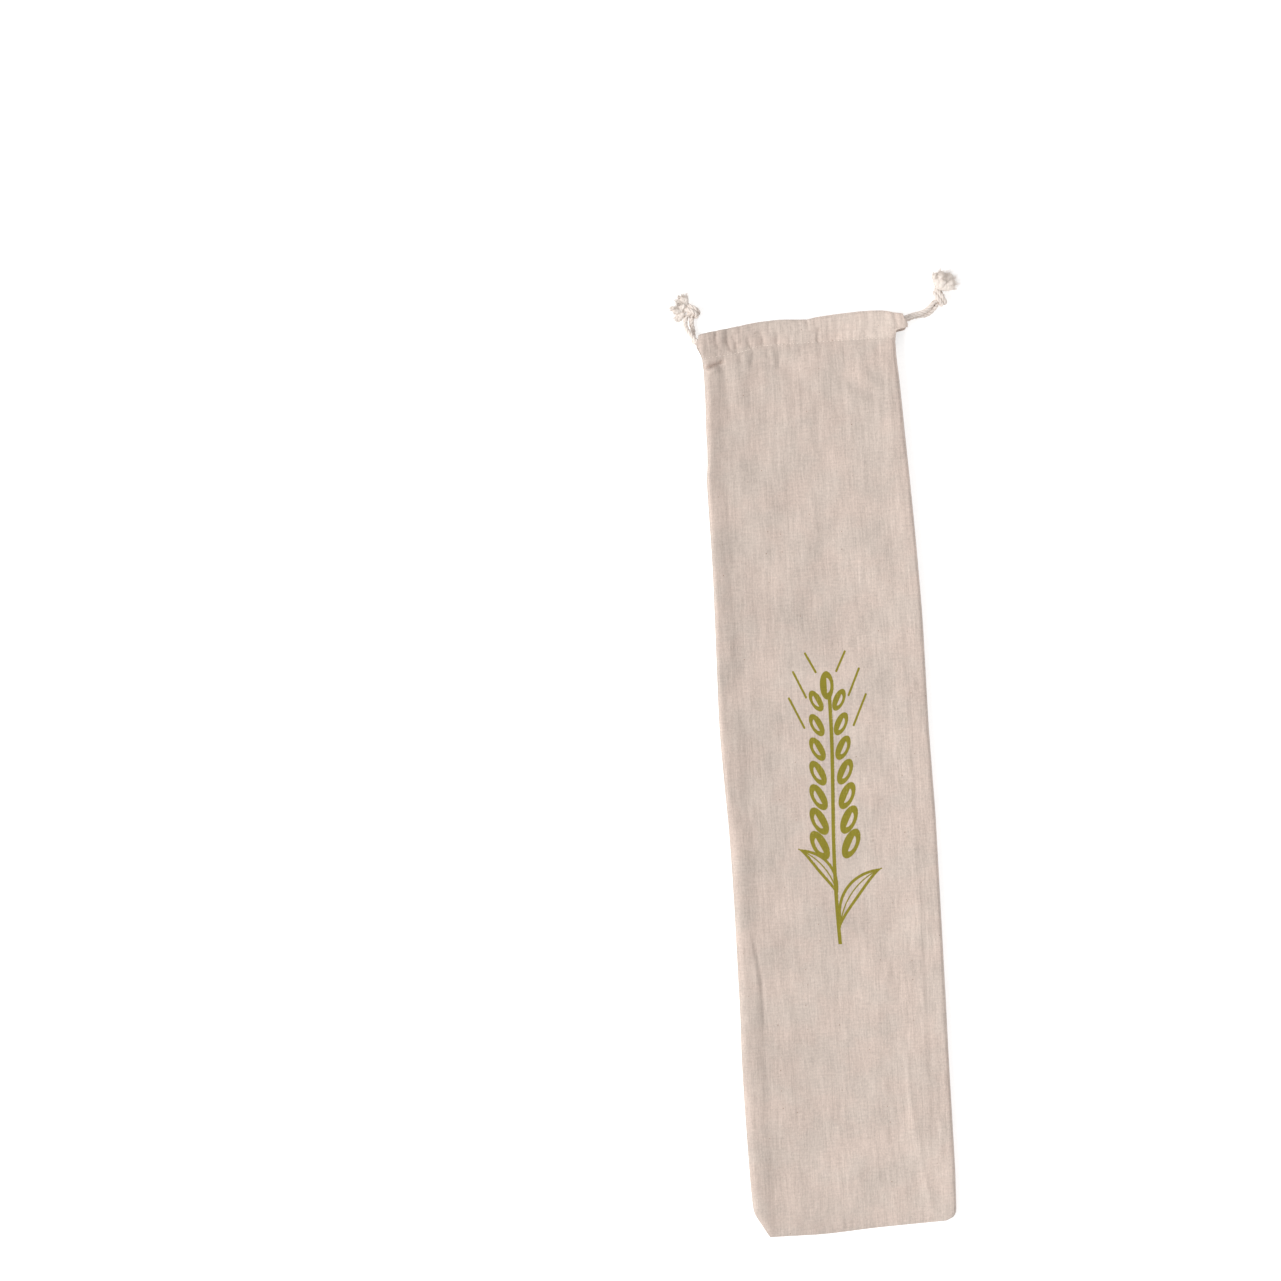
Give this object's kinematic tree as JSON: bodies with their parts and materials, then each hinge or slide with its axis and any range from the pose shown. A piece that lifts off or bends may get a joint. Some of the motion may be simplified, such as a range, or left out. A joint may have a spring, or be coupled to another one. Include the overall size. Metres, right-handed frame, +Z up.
{
  "type": "linen bread bag",
  "caption": "Narrow linen baguette bag lying flat, a front and a back panel sewn together, with a cord-drawn casing round the mouth and the cords knotted and frayed at both sides.",
  "frame": {"origin": "on the surface that the bag lies on, under the middle of its cloth", "axes": "+Z up out of the printed front, +Y along the bag towards its mouth, +X towards the side with the longer drawstring end"},
  "size_m": [0.2064, 0.6946, 0.0175],
  "materials": {
    "linen": "plain woven natural linen and cotton, matt",
    "cotton": "twisted cream cotton cord, matt"
  },
  "bodies": {
    "root": {"front_panel": "linen", "back_panel": "linen", "drawstring_front": "cotton", "drawstring_back": "cotton", "knot_right": "cotton", "knot_left": "cotton"}
  },
  "joints": []
}
